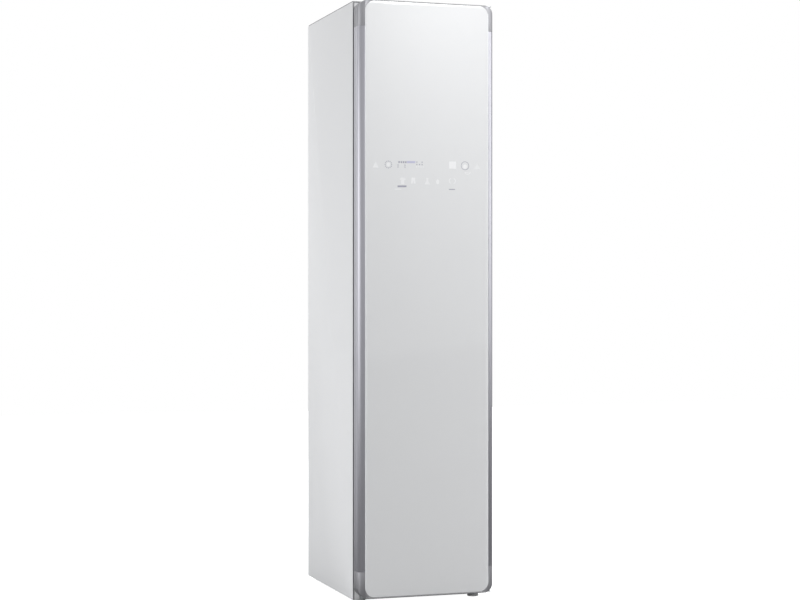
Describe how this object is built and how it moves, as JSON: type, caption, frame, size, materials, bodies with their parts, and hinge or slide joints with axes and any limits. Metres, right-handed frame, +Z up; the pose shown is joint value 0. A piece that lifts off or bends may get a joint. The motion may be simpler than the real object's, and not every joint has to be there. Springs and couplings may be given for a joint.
{
  "type": "clothes care steam cabinet",
  "caption": "Tall free-standing closet that steams and dries clothes: glass-fronted hinged door, shaking hanger bar, trouser press, water tanks and heat pump below.",
  "frame": {"origin": "on the floor, under the middle of the cabinet's width and depth", "axes": "+Z up, the door faces -Y, +X is the hinge side, on the viewer's right"},
  "size_m": [0.44, 0.585, 1.85],
  "materials": {
    "white_steel": "satin white coat over sheet steel",
    "zinc_steel": "galvanised sheet, fine spangle",
    "silver_glass": "silver-white back-coated toughened glass, polished",
    "brushed_aluminium": "satin anodised",
    "cap_silver": "silver painted moulding",
    "white_plastic": "fine moulded texture",
    "grey_plastic": "fine moulded texture",
    "dark_plastic": "fine moulded texture",
    "clear_plastic": "tinted translucent moulding",
    "gasket_rubber": "soft extruded",
    "foot_rubber": "hard moulded",
    "foam": "cut polyurethane foam",
    "bright_steel": "polished stainless",
    "coil_aluminium": "mill finish fins",
    "copper_pipe": "drawn copper",
    "black_steel": "black enamel",
    "circuit_board": "solder mask"
  },
  "bodies": {
    "cabinet": {"side_panel_left": "white_steel", "side_panel_right": "white_steel", "top_panel": "white_steel", "back_panel": "zinc_steel", "machine_cover": "zinc_steel", "base_pan": "zinc_steel", "fan_motor": "zinc_steel", "hanger_motor": "zinc_steel", "hinge_bracket_top": "zinc_steel", "hinge_bracket_bottom": "zinc_steel", "inner_liner": "white_plastic", "cabin_floor": "white_plastic", "drive_cover": "white_plastic", "kick_plate": "grey_plastic", "tank_bay": "grey_plastic", "air_duct": "grey_plastic", "heat_pump_tray": "grey_plastic", "steam_nozzle": "grey_plastic", "bar_guide_left": "grey_plastic", "bar_guide_right": "grey_plastic", "control_box": "grey_plastic", "fan_housing": "dark_plastic", "water_pump": "dark_plastic", "cabin_lamp": "clear_plastic", "steam_hose": "gasket_rubber", "supply_hose": "gasket_rubber", "insulation_foam": "foam", "steam_generator": "bright_steel", "evaporator": "coil_aluminium", "condenser": "coil_aluminium", "refrigerant_pipe": "copper_pipe", "compressor": "black_steel"},
    "door": {"door_glass": "silver_glass", "door_profile_left": "brushed_aluminium", "door_profile_right": "brushed_aluminium", "door_cap_top": "cap_silver", "door_cap_bottom": "cap_silver", "door_core": "foam", "door_liner": "white_plastic", "door_gasket": "gasket_rubber", "control_board": "circuit_board", "press_plate": "white_plastic"},
    "press_cover": {"press_cover": "white_plastic"},
    "hanger_bar": {"hanger_bar": "bright_steel"},
    "rocker_arm": {"rocker_arm": "bright_steel"},
    "shoulder_hanger_left": {"shoulder_hanger_left": "dark_plastic"},
    "shoulder_hanger_right": {"shoulder_hanger_right": "dark_plastic"},
    "trouser_hanger": {"trouser_hanger": "dark_plastic"},
    "shelf": {"shelf": "white_plastic"},
    "lint_filter": {"lint_filter": "grey_plastic"},
    "aroma_filter": {"aroma_filter": "dark_plastic"},
    "fan_wheel": {"fan_wheel": "grey_plastic"},
    "supply_tank": {"supply_tank": "clear_plastic", "supply_tank_lid": "white_plastic"},
    "supply_tank_handle": {"supply_tank_handle": "grey_plastic"},
    "drain_tank": {"drain_tank": "clear_plastic", "drain_tank_lid": "white_plastic"},
    "drain_tank_handle": {"drain_tank_handle": "grey_plastic"},
    "foot_front_left": {"foot_front_left": "foot_rubber"},
    "foot_front_right": {"foot_front_right": "foot_rubber"}
  },
  "joints": [
    {"name": "door_hinge", "type": "hinge", "parent": "cabinet", "child": "door", "pos_m": [0.212, -0.257, 0.9], "axis": [0, 0, 1], "range_deg": [0, 110]},
    {"name": "press_hinge", "type": "hinge", "parent": "door", "child": "press_cover", "pos_m": [0.1563, -0.2084, 1.02], "axis": [0, 0, -1], "range_deg": [0, 85]},
    {"name": "bar_slide", "type": "slide", "parent": "cabinet", "child": "hanger_bar", "axis": [1, 0, 0], "range_m": [-0.014, 0.014]},
    {"name": "rocker_swing", "type": "hinge", "parent": "cabinet", "child": "rocker_arm", "pos_m": [0, 0.0293, 1.78], "axis": [0, -1, 0], "range_deg": [-13.5, 13.5]},
    {"name": "hanger_swing_left", "type": "hinge", "parent": "hanger_bar", "child": "shoulder_hanger_left", "pos_m": [-0.095, 0.02, 1.7], "axis": [1, 0, 0], "range_deg": [-6, 6]},
    {"name": "hanger_swing_right", "type": "hinge", "parent": "hanger_bar", "child": "shoulder_hanger_right", "pos_m": [0.06, 0.02, 1.7], "axis": [1, 0, 0], "range_deg": [-6, 6]},
    {"name": "trouser_hanger_swing", "type": "hinge", "parent": "hanger_bar", "child": "trouser_hanger", "pos_m": [0.118, 0.02, 1.7], "axis": [1, 0, 0], "range_deg": [-8, 8]},
    {"name": "shelf_lift", "type": "slide", "parent": "cabinet", "child": "shelf", "axis": [0, 0, 1], "range_m": [0, 0.08]},
    {"name": "lint_filter_lift", "type": "slide", "parent": "cabinet", "child": "lint_filter", "axis": [0, 0, 1], "range_m": [0, 0.1]},
    {"name": "aroma_filter_lift", "type": "slide", "parent": "cabinet", "child": "aroma_filter", "axis": [0, 0, 1], "range_m": [0, 0.1]},
    {"name": "fan_spin", "type": "hinge", "parent": "cabinet", "child": "fan_wheel", "pos_m": [-0.075, 0.186, 0.378], "axis": [1, 0, 0], "continuous": true},
    {"name": "supply_tank_slide", "type": "slide", "parent": "cabinet", "child": "supply_tank", "axis": [0, -1, 0], "range_m": [0, 0.03]},
    {"name": "supply_handle_hinge", "type": "hinge", "parent": "supply_tank", "child": "supply_tank_handle", "pos_m": [-0.0969, -0.14475, 0.3681], "axis": [-1, 0, 0], "range_deg": [0, 90]},
    {"name": "drain_tank_slide", "type": "slide", "parent": "cabinet", "child": "drain_tank", "axis": [0, -1, 0], "range_m": [0, 0.03]},
    {"name": "drain_handle_hinge", "type": "hinge", "parent": "drain_tank", "child": "drain_tank_handle", "pos_m": [0.0969, -0.14475, 0.3681], "axis": [-1, 0, 0], "range_deg": [0, 90]},
    {"name": "foot_screw_left", "type": "slide", "parent": "cabinet", "child": "foot_front_left", "axis": [0, 0, -1], "range_m": [0, 0.012]},
    {"name": "foot_screw_right", "type": "slide", "parent": "cabinet", "child": "foot_front_right", "axis": [0, 0, -1], "range_m": [0, 0.012]}
  ],
  "couplings": [
    {"joint": "rocker_swing", "follows": "bar_slide", "rad_per_m": 16.667}
  ]
}
